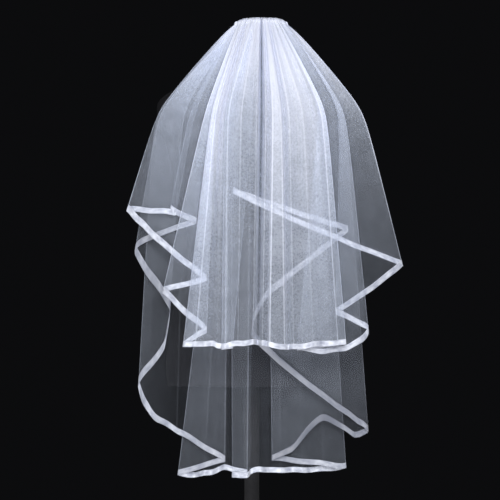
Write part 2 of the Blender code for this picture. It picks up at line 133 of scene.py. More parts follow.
CAP_BLACK = Finish("cap_black", (0.004, 0.004, 0.005), (0.008, 0.008, 0.010), 0.45, 60, 0.2)
BASE_PAINT = Finish("base_paint", (0.012, 0.012, 0.013), (0.02, 0.02, 0.022), 0.45, 180, 0.3)
POLE_PAINT = Finish("pole_paint", (0.002, 0.002, 0.003), (0.004, 0.004, 0.006), 0.92, 140, 0.15)
COMB_CLEAR = Finish("comb_clear", (0.62, 0.64, 0.67), (0.8, 0.82, 0.85), 0.22, 90, 0.1)

# The flat cut of what shows of each tier, across and down, in metres.
UPPER_FLAT, LOWER_FLAT = (0.85, 0.66), (1.5, 0.9)

# The studio, in metres.
FLOOR_RADIUS, FLOOR_GAP, FLOOR_SIDES = 2.6, 0.001, 96
FLOOR_DARK, FLOOR_LIGHT, FLOOR_ROUGHNESS = (0.60, 0.60, 0.62, 1), (0.68, 0.68, 0.70, 1), 0.7
WORLD_COLOUR = (0.0036, 0.0037, 0.0042)

Softbox = namedtuple("Softbox", "name place aim size power")

SOFTBOXES = [
    Softbox("key_light", (0.35, -3.2, 2.25), (0.0, -0.1, 1.15), 1.5, 110.0),
    Softbox("low_light", (-0.2, -3.0, 0.33), (0.0, -0.1, 1.1), 0.6, 46.0),
    Softbox("top_light", (0.0, -0.5, 3.0), (0.0, -0.1, 1.3), 0.9, 5.0),
    Softbox("side_light", (-2.4, -0.9, 1.9), (0.0, -0.1, 1.1), 1.2, 18.0),
    Softbox("front_light", (0.6, 2.6, 2.2), (0.0, 0.0, 0.9), 1.6, 10.0),
]

CAMERA_DISTANCE = 9.0
CAMERA_AIM = (-0.0035, -0.183, 1.0464)
FRAME_WIDTH, SENSOR_MM = 0.965, 36.0

# What the cloth does at a fold line: it waves on, doubles back with its edge pointed, or doubles back in
# a round roll.
WAVE, CREASE, ROLL = range(3)
# How much of its slope the cloth's edge keeps as it passes such a line.
EDGE_SLOPE = {WAVE: 1.0, CREASE: 0.0, ROLL: 0.8}

Fold = namedtuple("Fold", "shoulder_x hem_x hem_drop layer turn fullness line trough dull", defaults=[0.0])

# One row for each fold line, from the free fold on the left to the free fold on the right. shoulder_x is
# where the line passes the shoulders and hem_x and hem_drop where it ends. layer is how far in front of the
# outermost cloth it lies, by the shoulders, fullness how much cloth is gathered in there, line how strongly
# the pressed crease shows, trough how much deeper the fold is near the gathers and the last column how much
# painted shade darkens its ribbon's colour there, where the ribbon lies behind the tulle.
UPPER_FOLDS = [
    Fold(-18.6, -25.4, 37.8, 2.90, CREASE, 1.45, 2.0, 0.0),
    Fold(-8.0, -9.7, 51.4, 2.10, CREASE, 1.5, 1.5, 0.0),
    Fold(-9.8, -18.3, 53.6, 1.55, CREASE, 1.6, 2.0, 0.0, 0.1),
    Fold(-7.7, -9.7, 61.3, 1.05, CREASE, 1.7, 1.0, 0.0, 0.25),
    Fold(-8.6, -14.3, 64.0, 0.58, CREASE, 2.7, 2.6, 0.0),
    Fold(-8.1, -12.9, 64.1, 0.15, WAVE, 4.2, 0.0, 0.0),
    Fold(-7.7, -11.9, 64.0, 0.35, WAVE, 4.4, 0.5, 0.5),
    Fold(-7.0, -10.2, 63.9, 0.10, WAVE, 3.8, 0.0, 0.0),
    Fold(-6.4, -8.6, 63.9, 0.75, WAVE, 3.3, 0.0, 0.6),
    Fold(-5.95, -7.4, 64.3, 0.50, WAVE, 4.6, 0.0, 0.3),
    Fold(-3.2, -5.6, 64.3, 0.80, WAVE, 2.4, 0.0, 0.0),
    Fold(-0.8, -4.7, 64.3, 0.60, CREASE, 1.6, 0.8, 0.0),
    Fold(-5.9, -6.8, 64.5, 0.22, CREASE, 1.6, 1.6, 0.0),
    Fold(-5.3, -6.1, 64.3, 0.02, WAVE, 3.2, 0.6, 0.0),
    Fold(-4.2, -5.2, 64.1, 0.12, WAVE, 3.4, 0.0, 0.4),
    Fold(-2.9, -3.7, 63.8, 0.00, WAVE, 3.0, 0.3, 0.0),
    Fold(-1.45, -2.1, 63.7, 0.25, WAVE, 3.2, 0.0, 0.4),
    Fold(0.0, -0.8, 63.6, 0.00, WAVE, 3.6, 0.3, 0.0),
    Fold(0.85, 0.1, 63.6, 1.50, WAVE, 1.5, 0.0, 2.6),
    Fold(1.7, 1.0, 63.7, 0.05, WAVE, 4.2, 0.3, 0.0),
    Fold(2.4, 1.9, 64.0, 0.40, WAVE, 4.8, 0.0, 0.5),
    Fold(3.0, 2.4, 64.1, 0.00, WAVE, 5.6, 0.9, 0.0),
    Fold(4.5, 5.3, 64.4, 0.05, WAVE, 5.0, 0.6, 0.0),
    Fold(5.1, 6.0, 64.6, 0.70, WAVE, 4.4, 0.0, 0.4),
    Fold(6.0, 7.0, 64.5, 0.00, WAVE, 4.8, 0.2, 0.0),
    Fold(7.25, 8.9, 64.3, 0.42, WAVE, 5.2, 0.0, 0.2),
    Fold(8.6, 10.8, 64.0, 0.00, WAVE, 5.2, 0.15, 0.0),
    Fold(9.95, 12.7, 63.9, 0.40, WAVE, 5.0, 0.0, 0.3),
    Fold(11.1, 14.3, 63.8, 0.10, WAVE, 4.6, 0.0, 0.0),
    Fold(12.1, 15.6, 63.7, 0.30, WAVE, 3.4, 0.7, 0.2),
    Fold(12.9, 17.2, 63.6, 0.45, CREASE, 1.8, 2.0, 0.0),
    Fold(11.5, 7.7, 64.6, 1.05, CREASE, 1.2, 0.8, 0.0, 0.3),
    Fold(13.3, 13.1, 65.3, 1.30, WAVE, 1.3, 0.0, 0.0, 0.2),
    Fold(15.4, 18.9, 64.1, 1.50, WAVE, 1.3, 0.0, 0.0),
    Fold(16.5, 21.6, 61.2, 1.75, ROLL, 1.3, 1.0, 0.0),
    Fold(15.3, 15.2, 57.8, 2.22, CREASE, 1.3, 0.8, 0.0, 0.35),
    Fold(20.0, 28.4, 48.5, 2.90, CREASE, 1.4, 2.0, 0.0),
]
LOWER_FOLDS = [
    Fold(-18.6, -25.4, 37.8, 2.90, CREASE, 1.3, 2.0, 0.0),
    Fold(-11.6, -15.8, 38.6, 3.40, CREASE, 1.3, 0.8, 0.0),
    Fold(-12.6, -16.9, 37.9, 3.80, CREASE, 1.3, 0.8, 0.0),
    Fold(-9.5, -11.8, 40.3, 4.25, CREASE, 1.3, 0.8, 0.0, 0.3),
    Fold(-18.2, -23.8, 45.6, 4.75, ROLL, 1.2, 1.0, 0.0, 0.6),
    Fold(-13.7, -16.9, 57.5, 5.25, ROLL, 1.15, 0.5, 0.0, 0.7),
    Fold(-14.8, -17.9, 64.2, 5.50, WAVE, 1.15, 0.0, 0.0, 0.55),
    Fold(-18.8, -23.1, 71.9, 5.75, ROLL, 1.15, 1.0, 0.0, 0.4),
    Fold(-16.9, -20.8, 77.6, 6.00, WAVE, 1.0, 0.0, 0.0, 0.3),
    Fold(-13.0, -15.6, 80.9, 6.20, WAVE, 0.5, 0.6, 0.0, 0.4),
    Fold(-5.6, -6.2, 86.4, 6.45, CREASE, 0.5, 0.8, 0.0, 0.6),
    Fold(-6.6, -15.4, 89.2, 6.90, CREASE, 1.1, 2.0, 0.0, 0.35),
    Fold(-6.3, -13.7, 89.5, 7.15, WAVE, 1.2, 0.0, 0.0),
    Fold(-5.9, -12.1, 89.6, 7.60, WAVE, 1.2, 0.0, 0.0),
    Fold(-5.5, -10.4, 89.3, 7.10, WAVE, 1.2, 0.4, 0.0),
    Fold(-5.3, -8.9, 89.0, 7.75, WAVE, 1.2, 0.0, 0.0),
    Fold(-5.2, -7.5, 88.5, 7.35, WAVE, 1.2, 0.0, 0.0),
    Fold(-5.0, -6.3, 88.2, 7.80, WAVE, 1.2, 0.9, 0.0),
    Fold(-3.2, -3.9, 88.6, 8.20, WAVE, 0.4, 0.0, 0.0),
    Fold(-0.9, -1.9, 89.2, 7.90, CREASE, 1.0, 1.2, 0.0),
    Fold(-4.6, -4.8, 89.5, 7.50, CREASE, 1.0, 1.6, 0.0),
    Fold(-2.7, -3.3, 89.7, 7.25, WAVE, 1.2, 0.0, 0.0),
    Fold(-1.2, -1.9, 89.5, 7.20, WAVE, 1.2, 0.8, 0.0),
    Fold(-0.2, -1.1, 88.9, 8.15, WAVE, 0.9, 0.0, 0.0),
    Fold(0.95, 0.6, 88.5, 7.75, WAVE, 0.9, 0.0, 0.0),
    Fold(2.2, 2.5, 88.6, 8.80, WAVE, 1.0, 0.0, 0.0),
    Fold(3.6, 4.6, 88.7, 8.45, WAVE, 1.1, 0.3, 0.0),
    Fold(4.9, 6.75, 88.6, 9.05, WAVE, 1.1, 0.0, 0.0),
    Fold(6.3, 8.9, 88.7, 8.60, WAVE, 1.1, 0.3, 0.0),
    Fold(7.6, 11.0, 88.6, 9.15, WAVE, 1.1, 0.0, 0.0),
    Fold(9.0, 13.1, 88.5, 8.80, WAVE, 1.1, 0.3, 0.0),
    Fold(10.4, 15.2, 88.3, 9.10, WAVE, 1.1, 0.0, 0.0),
    Fold(12.2, 17.4, 88.0, 8.60, CREASE, 1.1, 2.0, 0.0),
    Fold(2.3, 2.9, 86.2, 7.70, CREASE, 1.0, 1.4, 0.0, 0.85),
    Fold(5.5, 6.4, 84.8, 7.40, WAVE, 1.0, 0.0, 0.0, 1.0),
    Fold(8.5, 13.0, 78.6, 7.18, WAVE, 1.0, 0.0, 0.0, 1.0),
    Fold(13.5, 19.3, 81.8, 6.92, WAVE, 1.0, 0.0, 0.0, 0.7),
    Fold(16.2, 21.7, 80.7, 6.58, ROLL, 1.0, 1.5, 0.0, 0.6),
    Fold(1.0, -1.0, 61.8, 5.68, ROLL, 1.0, 0.5, 0.0, 1.0),
    Fold(3.0, 1.0, 55.9, 5.50, WAVE, 1.0, 0.0, 0.0, 0.75),
    Fold(15.0, 17.7, 41.8, 4.82, CREASE, 1.0, 0.8, 0.0, 0.35),
    Fold(-2.1, -4.7, 34.4, 3.87, CREASE, 1.0, 0.8, 0.0, 0.1),
    Fold(20.0, 28.4, 48.5, 2.90, CREASE, 1.3, 2.0, 0.0),
]

Station = namedtuple("Station", "drop outer_y spread wrap")

# How the whole veil hangs. outer_y is where its outermost cloth is, spread how far apart the layers stand
# there, as a share of the tables' own, and wrap how far its sides come forward round the form, as a share of
# the full bend.
HANG = [
    Station(0.0, -3.98, 0.36, 0.0),
    Station(0.8, -4.03, 0.38, 0.0),
    Station(1.6, -4.59, 0.45, 0.0),
    Station(3.0, -5.72, 0.56, 0.1),
    Station(6.0, -7.86, 0.67, 0.2),
    Station(11.0, -10.40, 0.78, 0.5),
    Station(17.0, -12.30, 0.92, 0.8),
    Station(25.0, -13.70, 1.00, 1.0),
    Station(35.0, -14.80, 1.10, 1.0),
    Station(64.0, -16.90, 1.33, 1.0),
    Station(92.0, -17.70, 1.42, 1.0),
]

Section = namedtuple("Section", "drop half_width front back")

# The form's body, a row for each section. front and back are its reach from the form's axis.
TORSO = [
    Section(4.03, 5.6, 5.0, 6.4),
    Section(7.0, 5.8, 5.2, 6.6),
    Section(9.0, 6.9, 5.8, 7.0),
    Section(11.0, 9.8, 6.6, 7.6),
    Section(13.0, 14.2, 7.4, 8.2),
    Section(15.0, 18.3, 8.2, 8.7),
    Section(17.0, 19.7, 8.9, 8.9),
    Section(20.0, 19.6, 9.8, 9.4),
    Section(26.0, 17.4, 11.4, 10.0),
    Section(32.0, 16.0, 12.0, 9.8),
    Section(38.0, 14.2, 10.8, 9.2),
    Section(44.0, 13.0, 9.6, 8.8),
    Section(52.0, 14.4, 10.0, 9.4),
    Section(60.0, 16.4, 10.6, 10.4),
    Section(68.0, 17.0, 10.6, 10.6),
    Section(72.0, 16.6, 10.3, 10.3),
]


def cubic(start, end, start_rate, end_rate, share):
    """A cubic from start to end, with the given rates at its two ends."""
    rise = share * share * (3 - 2 * share)
    return (
        start * (1 - rise)
        + end * rise
        + start_rate * share * (1 - share) ** 2
        + end_rate * share**2 * (share - 1)
    )


def shared_rate(before, after):
    """The rate at a point between two steps: their harmonic mean, or none where they run opposite ways."""
    same_way = before * after > 0
    return np.where(same_way, 2 * before * after / np.where(same_way, before + after, 1), 0)


def smooth_curve(stations, values, at):
    """A smooth curve through the values at these stations that adds no bumps."""
    widths = np.diff(stations)
    slopes = np.diff(values) / widths
    rates = np.concatenate([slopes[:1], shared_rate(slopes[:-1], slopes[1:]), slopes[-1:]])
    step = np.clip(np.searchsorted(stations, at) - 1, 0, len(widths) - 1)
    share = (at - stations[step]) / widths[step]
    start_rate = rates[step] * widths[step]
    return cubic(values[step], values[step + 1], start_rate, rates[step + 1] * widths[step], share)


def table_column(table, field):
    return np.array([getattr(row, field) for row in table], float)


def hang(field, drop):
    """A column of the HANG table, at these drops."""
    return smooth_curve(table_column(HANG, "drop"), table_column(HANG, field), drop)


def past_shoulder(drop):
    """How far a drop has gone past the shoulder, turning smoothly there."""
    below = drop - SHOULDER_DROP
    at_top = np.hypot(SHOULDER_DROP, SHOULDER_BEND) - SHOULDER_DROP
    return (below + np.hypot(below, SHOULDER_BEND) - at_top) / 2


def fold_lines_x(folds, drop):
    """Each fold line's x at these drops: from the gathers, through its shoulder_x, to its hem_x."""
    top, shoulder, hem, hem_drop = (
        values.reshape(-1, 1, 1)
        for values in (
            np.linspace(GATHER_LEFT, GATHER_RIGHT, len(folds)),
            table_column(folds, "shoulder_x"),
            table_column(folds, "hem_x"),
            table_column(folds, "hem_drop"),
        )
    )
    bend_there = past_shoulder(SHOULDER_DROP)
    straight_end = top + (shoulder - top) * hem_drop / SHOULDER_DROP
    turn = (hem - straight_end) / (past_shoulder(hem_drop) - bend_there * hem_drop / SHOULDER_DROP)
    slope = (shoulder - top - bend_there * turn) / SHOULDER_DROP
    fanned = 1 - np.exp(-drop / FAN_START)
    return top + (slope * drop + turn * past_shoulder(drop)) * fanned


def fold_lines_y(folds, side, drop):
    """Each fold line's y at these drops, before the wrap. The gathers fade below it, and so does the gap over
    the comb."""
    layer = table_column(folds, "layer").reshape(-1, 1, 1)
    count = np.arange(len(folds))
    from_end = np.minimum(count, count[::-1])
    apart = side * COMB_GAP * (1 - np.exp(-from_end))
    waves = np.where(from_end > 0, GATHER_WAVE * (-1.0) ** count, 0)
    fade = np.exp(-drop / GATHER_FADE)
    trough = table_column(folds, "trough").reshape(-1, 1, 1)
    deeper = trough * (1 - np.exp(-drop / TROUGH_START)) * np.exp(-((drop / TROUGH_FADE) ** 2))
    gathers = (apart + waves).reshape(-1, 1, 1) * fade
    return hang("outer_y", drop) + hang("spread", drop) * layer + deeper + gathers


def fold_rates(values, turns):
    """The rates at both ends of each step between folds. A turn's are steep, which rounds the fold."""
    steps = np.diff(values, axis=0)
    inner = shared_rate(steps[:-1], steps[1:])
    none = np.zeros_like(steps[:1])
    rates = np.concatenate([none, inner, none])
    if turns is None:
        return rates[:-1], rates[1:]
    steep = turns.reshape((-1,) + (1,) * (values.ndim - 1))
    rounded = TURN_RATE * steps
    return np.where(steep[:-1], rounded, rates[:-1]), np.where(steep[1:], rounded, rates[1:])


def between_folds(values, rates, column):
    """Reads a quantity known on the fold lines at these fractional columns."""
    first = np.minimum(column.astype(int), len(values) - 2)
    share = column - first
    starts, ends = rates
    places = np.broadcast_to(first, values.shape[1:])[None]
    start, end, start_rate, end_rate = (
        np.take_along_axis(array, places + shift, 0)[0]
        for array, shift in ((values, 0), (values, 1), (starts, 0), (ends, 0))
    )
    return cubic(start, end, start_rate, end_rate, share)


def edge_length(folds, column):
    """How far along the cloth's edge a column is, and how far it is from the edge's nearer end."""
    steps = [np.diff(table_column(folds, field)) for field in ("hem_x", "hem_drop", "layer")]
    lengths = np.concatenate([[0], np.cumsum(np.sqrt(sum(step**2 for step in steps)))])
    along = np.interp(column, np.arange(len(folds)), lengths)
    return along, np.minimum(along, lengths[-1] - along)


def uneven(amount, phase):
    """A factor that runs from 1 down to 1 - 2 * amount and back."""
    return 1 - amount + amount * np.sin(phase)


def edge_waves(folds, column):
    """The ribbon's slow, uneven waving along the cloth's edge, still at its two ends."""
    along, from_end = edge_length(folds, column)
    still = 1 - np.exp(-((from_end / EDGE_WAVE_REACH) ** 2))
    phase = 2 * np.pi * along / EDGE_WAVE_LENGTH + EDGE_DRIFT * np.sin(along / EDGE_DRIFT_LENGTH)
    depth = still * uneven(EDGE_UNEVEN, along / EDGE_PATCH + EDGE_PATCH_START)
    return depth * np.sin(phase), depth * np.sin(DIP_PACE * phase + DIP_START)


def hem_drops(folds, column):
    """The drop of the cloth's edge. It is pointed at each crease, and smooth along the waves and rolls."""
    drops = np.repeat(table_column(folds, "hem_drop")[:, None], len(column), axis=1)
    kept = np.array([[EDGE_SLOPE[fold.turn]] for fold in folds])
    starts, ends = fold_rates(drops, None)
    dips = EDGE_DIP * edge_waves(folds, column)[1]
    return between_folds(drops, (starts * kept[:-1], ends * kept[1:]), column) + dips


def fine_gathers(column, drop, spacing):
    """The small waves between the fold lines, uneven in depth, which fade down the cloth."""
    starting = 1 - np.exp(-((drop / CREST_DROP) ** 2))
    phase = 2 * np.pi * FINE_WAVES * column + sum(most * np.sin(pace * column) for most, pace in FINE_DRIFTS)
    fine = FINE_DEPTH * uneven(FINE_UNEVEN, FINE_PATCH * column + FINE_PATCH_START)
    fine = fine * np.exp(-drop / FINE_FADE) * np.sin(phase)
    most, pace = BROAD_DRIFT
    slow = 2 * np.pi * BROAD_WAVES * column + most * np.sin(pace * column)
    broad = BROAD_DEPTH * uneven(BROAD_UNEVEN, BROAD_PATCH * column)
    broad = broad * np.exp(-drop / BROAD_FADE) * np.sin(slow)
    return spacing * starting * (fine + broad)


def crest_sag(folds, column, drop):
    """How far the crest hangs below its middle: more at its ends, in small scallops between."""
    off_middle = 2 * column / (len(folds) - 1) - 1
    scallop = CREST_SCALLOP * np.sin(np.pi * column / SCALLOP_PITCH + np.sin(column)) ** 2
    return (CREST_SAG * off_middle**4 + scallop) * np.exp(-drop / CREST_SAG_FADE)


def cloth_points(folds, side, column, drop):
    """Points of the cloth at these columns and drops. Above CREST_DROP it rounds over to the other tier."""
    turns = np.array([fold.turn != WAVE for fold in folds])
    hanging = np.maximum(drop, CREST_DROP)
    x = fold_lines_x(folds, hanging)
    y = fold_lines_y(folds, side, hanging)
    across = between_folds(x, fold_rates(x, None), column)
    deep = between_folds(y, fold_rates(y, turns), column)
    deep = deep + WRAP_BEND * hang("wrap", hanging) * (across - WRAP_CENTRE) ** 2
    first = np.broadcast_to(np.minimum(column.astype(int), len(folds) - 2), across.shape)[None]
    spacing = np.abs(np.take_along_axis(np.diff(x, axis=0), first, 0)[0])
    deep = deep + fine_gathers(column, hanging, spacing)
    from_hem = np.maximum(hem_drops(folds, column) - hanging, 0)
    deep = deep + EDGE_WAVE * edge_waves(folds, column)[0] * np.exp(-from_hem / EDGE_WAVE_REACH)
    seam = y[0] + (y[-1] - y[0]) * column / (len(folds) - 1)
    angle = np.minimum(drop / CREST_DROP, 1) * np.pi / 2
    deep = seam + (deep - seam) * np.sin(angle)
    middle = (GATHER_LEFT + GATHER_RIGHT) / 2
    across = middle + (across - middle) * (CREST_SHARE + (1 - CREST_SHARE) * np.sin(angle))
    height = CREST_DROP * np.cos(angle) - hanging - crest_sag(folds, column, hanging)
    return np.stack([across, deep, height], axis=-1)


def columns_of(folds):
    """Fractional columns for a whole tier, closer together where the cloth doubles back."""
    columns = []
    for i in range(len(folds) - 1):
        if folds[i].turn == folds[i + 1].turn == WAVE:
            shares = np.arange(WAVE_COLUMNS) / WAVE_COLUMNS
        else:
            shares = (1 - np.cos(np.pi * np.arange(TURN_COLUMNS) / TURN_COLUMNS)) / 2
        columns += list(i + shares)
    return np.array(columns + [len(folds) - 1.0])


def tier_drops(folds, column):
    """The drops of a tier's rows, from the crest to the cloth's edge, closer together near the crest."""
    crest = CREST_DROP * np.arange(CREST_ROWS).reshape(-1, 1) / CREST_ROWS
    rows = np.linspace(0, 1, TIER_ROWS).reshape(-1, 1) ** ROW_CROWDING
    return np.concatenate([crest + 0 * column, CREST_DROP + rows * (hem_drops(folds, column) - CREST_DROP)])


def across_rate(points, column):
    """How much cloth, seen in a level cut, lies along each column step."""
    x_rate, y_rate = (np.gradient(points[..., axis], column, axis=-1) for axis in (0, 1))
    return np.hypot(x_rate, y_rate)


def smoothed(rows):
    """Each row's running mean over SMOOTH_COLUMNS."""
    half = SMOOTH_COLUMNS // 2
    padded = np.pad(rows, ((0, 0), (half, half)), mode="edge")
    return sum(padded[:, i : i + rows.shape[1]] for i in range(SMOOTH_COLUMNS)) / SMOOTH_COLUMNS


def cloth_density(folds, side, column, drop, points):
    """How many thicknesses of flat tulle are gathered in at each point, and how far across it lies."""
    hem = cloth_points(folds, side, column, hem_drops(folds, column).reshape(1, -1))
    fullness = np.interp(column, np.arange(len(folds)), table_column(folds, "fullness"))
    flat = smoothed(across_rate(hem, column) * fullness)[0]
    now = smoothed(across_rate(points, column))
    gathers = np.clip((fullness - 1) / (FULL_FROM - 1), 0, 1)
    gathered = 1 + GATHERED_GAIN * np.exp(-drop / GATHERED_FADE) * gathers
    density = np.clip(flat / np.maximum(now, LEAST_SPACING), 0, MOST_DENSITY) * gathered
    return density, np.cumsum(flat * np.gradient(column))


def crease_lines(folds, column, points):
    """How far each point is from its nearest fold line, in a level cut, and how strongly it shows."""
    steps = np.linalg.norm(np.diff(points[..., :2], axis=1), axis=-1)
    along = np.concatenate([np.zeros((len(points), 1)), np.cumsum(steps, axis=1)], axis=1)
    first = np.minimum(column.astype(int), len(folds) - 2)
    at_fold = np.searchsorted(column, np.arange(len(folds)) - 1e-6)
    before = along - along[:, at_fold[first]]
    after = along[:, at_fold[first + 1]] - along
    line = table_column(folds, "line")
    return np.minimum(before, after), np.where(before < after, line[first], line[first + 1])


def place(points):
    """Points in the part's frame, in metres, from points in the veil's own frame, in centimetres."""
    return (np.asarray(points) - (FORM_X, FORM_Y, -VEIL_TOP)) * CM


def new_object(name, points, faces, material):
    """A smooth-shaded object on the root body."""
    data = bpy.data.meshes.new(name)
    data.from_pydata(points.reshape(-1, 3).tolist(), [], faces)
    data.update()
    data.shade_smooth()
    data.materials.append(material)
    item = bpy.data.objects.new(name, data)
    bpy.context.scene.collection.objects.link(item)
    return item


def grid_faces(rows, columns, ring=False):
    """Quads over a grid of points, closed in its columns' direction for a ring."""
    faces = []
    for i in range(rows - 1):
        for j in range(columns if ring else columns - 1):
            k = (j + 1) % columns
            faces.append((i * columns + j, (i + 1) * columns + j, (i + 1) * columns + k, i * columns + k))
    return faces


def face_outward(item):
    """Turns a closed solid's faces outward."""
    mesh = bmesh.new()
    mesh.from_mesh(item.data)
    bmesh.ops.recalc_face_normals(mesh, faces=mesh.faces)
    mesh.to_mesh(item.data)
    mesh.free()


def add_map(item, name, across, down):
    """A UV map from a value across and a value down at each point."""
    layer = item.data.uv_layers.new(name=name)
    corners = np.empty(len(item.data.loops), int)
    item.data.loops.foreach_get("vertex_index", corners)
    values = np.stack([across.reshape(-1), down.reshape(-1)], axis=-1)[corners]
    layer.data.foreach_set("uv", values.reshape(-1))


def add_attribute(item, name, values):
    item.data.attributes.new(name, "FLOAT", "POINT").data.foreach_set("value", values.reshape(-1))


def make_tulle(name, folds, side, material):
    column = columns_of(folds)
    drop = tier_drops(folds, column)
    points = cloth_points(folds, side, column, drop)
    density, along = cloth_density(folds, side, column, drop, points)
    distance, line = crease_lines(folds, column, points)
    item = new_object(name, place(points), grid_faces(*drop.shape), material)
    add_map(item, "cloth", (along + 0 * drop) * CM, drop * CM)
    add_attribute(item, "thicknesses", density)
    add_attribute(item, "from_fold", distance * CM)
    add_attribute(item, "fold_line", line)
    return item


def ribbon_reach(folds, side, column):
    """How far up from the cloth's edge the ribbon reaches, further where the edge slants."""
    count = np.arange(len(folds))
    hem = table_column(folds, "hem_drop")
    edge = cloth_points(folds, side, count.astype(float), hem.reshape(1, -1))[0]
    slant = np.hypot(1, np.diff(hem) / np.linalg.norm(np.diff(edge[:, :2], axis=0), axis=-1))
    return RIBBON_WIDTH * np.interp(column, count[:-1] + 0.5, np.minimum(slant, MOST_RIBBON_SLANT))


# A ribbon's own cut, as it is folded over the cloth's edge. down runs from its sewn edge to its fold, and
# face from one face to the other, in half walls.
CutPoint = namedtuple("CutPoint", "down face")

RIBBON_FACE = [
    CutPoint(0.0, 0.5),
    CutPoint(0.08, 1.0),
    CutPoint(0.3, 1.0),
    CutPoint(0.55, 1.0),
    CutPoint(0.8, 1.0),
    CutPoint(0.95, 0.9),
    CutPoint(1.0, 0.45),
]
RIBBON_CUT = RIBBON_FACE + [CutPoint(row.down, -row.face) for row in reversed(RIBBON_FACE)]


def make_ribbon(name, folds, side, material):
    """A closed satin band over the cloth's edge, with small puckers where it is sewn."""
    column = columns_of(folds)
    down, face = (table_column(RIBBON_CUT, field).reshape(-1, 1) for field in ("down", "face"))
    hem = hem_drops(folds, column)
    drop = hem - (1 - down) * ribbon_reach(folds, side, column)
    points = cloth_points(folds, side, column, drop)
    last = len(folds) - 1
    step = 0.01
    ahead = cloth_points(folds, side, np.clip(column + step, 0, last), drop)
    behind = cloth_points(folds, side, np.clip(column - step, 0, last), drop)
    lower, upper = (cloth_points(folds, side, column, drop + way) for way in (step, -step))
    normals = np.cross(ahead - behind, lower - upper)
    normals /= np.linalg.norm(normals, axis=-1, keepdims=True)
    edge = cloth_points(folds, side, column, hem.reshape(1, -1))[0]
    length = np.concatenate([[0], np.cumsum(np.linalg.norm(np.diff(edge, axis=0), axis=-1))])
    waves = np.sin(2 * np.pi * length / PUCKER_LENGTH + 2 * np.sin(length / PUCKER_DRIFT))
    waves = waves * uneven(PUCKER_UNEVEN, length / PUCKER_PATCH)
    pucker = PUCKER_DEPTH * waves * (LEAST_PUCKER + (1 - LEAST_PUCKER) * down)
    points = points + normals * (face * RIBBON_HALF_WALL + pucker)[..., None]
    rings = np.swapaxes(points, 0, 1)
    count = len(RIBBON_CUT)
    faces = grid_faces(len(column), count, ring=True)
    faces.append(tuple(range(count)))
    faces.append(tuple(range(len(column) * count - 1, (len(column) - 1) * count - 1, -1)))
    item = new_object(name, place(rings), faces, material)
    face_outward(item)
    add_map(item, "ribbon", np.repeat(length, count) * CM, np.tile(down[:, 0], len(column)))
    # Painted shade for the ribbon where it lies behind the tulle, read from the fold table.
    dull = np.interp(column, np.arange(len(folds)), table_column(folds, "dull"))
    add_attribute(item, "sheltered", np.repeat(dull, count))
    return item


def lofted(name, rings, material):
    """A closed solid through rings with the same number of points, top ring first."""
    rings = np.array(rings)
    count = rings.shape[1]
    faces = grid_faces(len(rings), count, ring=True)
    faces.append(tuple(range(count))[::-1])
    faces.append(tuple(range((len(rings) - 1) * count, len(rings) * count)))
    item = new_object(name, place(rings), faces, material)
    face_outward(item)
    item.data.set_sharp_from_angle(angle=np.radians(SHARP_DEGREES))
    return item


def round_angles(sides):
    return np.arange(sides) * 2 * np.pi / sides


def turned(name, x, y, profile, material):
    """A solid turned about an upright axis, from rows of radius and drop."""
    angle = round_angles(ROUND_SIDES)
    rings = []
    for radius, drop in profile:
        ring = [x + radius * np.cos(angle), y + radius * np.sin(angle), np.full(ROUND_SIDES, -drop)]
        rings.append(np.stack(ring, axis=-1))
    return lofted(name, rings, material)


def rounded_edge(radius, drop, edge):
    """Rows of radius and drop round a turned edge, from the flat top to the side."""
    rows = []
    for angle in np.linspace(0, np.pi / 2, EDGE_STEPS):
        rows.append((radius - edge + edge * np.sin(angle), drop + edge - edge * np.cos(angle)))
    return rows


def lean_x(drop):
    """Where the leaning form's middle is at a drop."""
    return FORM_X + LEAN * (TORSO_BOTTOM_DROP - drop)


def make_torso(material):
    angle = round_angles(ROUND_SIDES)
    power = 2 / TORSO_SQUARENESS
    across = np.sign(np.cos(angle)) * np.abs(np.cos(angle)) ** power
    deep = np.sign(np.sin(angle)) * np.abs(np.sin(angle)) ** power
    stations = table_column(TORSO, "drop")
    rings = []
    for drop in np.linspace(stations[0], stations[-1], TORSO_RINGS):
        half, front, back = (
            smooth_curve(stations, table_column(TORSO, field), drop)
            for field in ("half_width", "front", "back")
        )
        reach = np.where(deep > 0, front, back)
        ring = [lean_x(drop) + half * across, FORM_Y + reach * deep, np.full(ROUND_SIDES, -drop)]
        rings.append(np.stack(ring, axis=-1))
    return lofted("torso_jersey", rings, material)


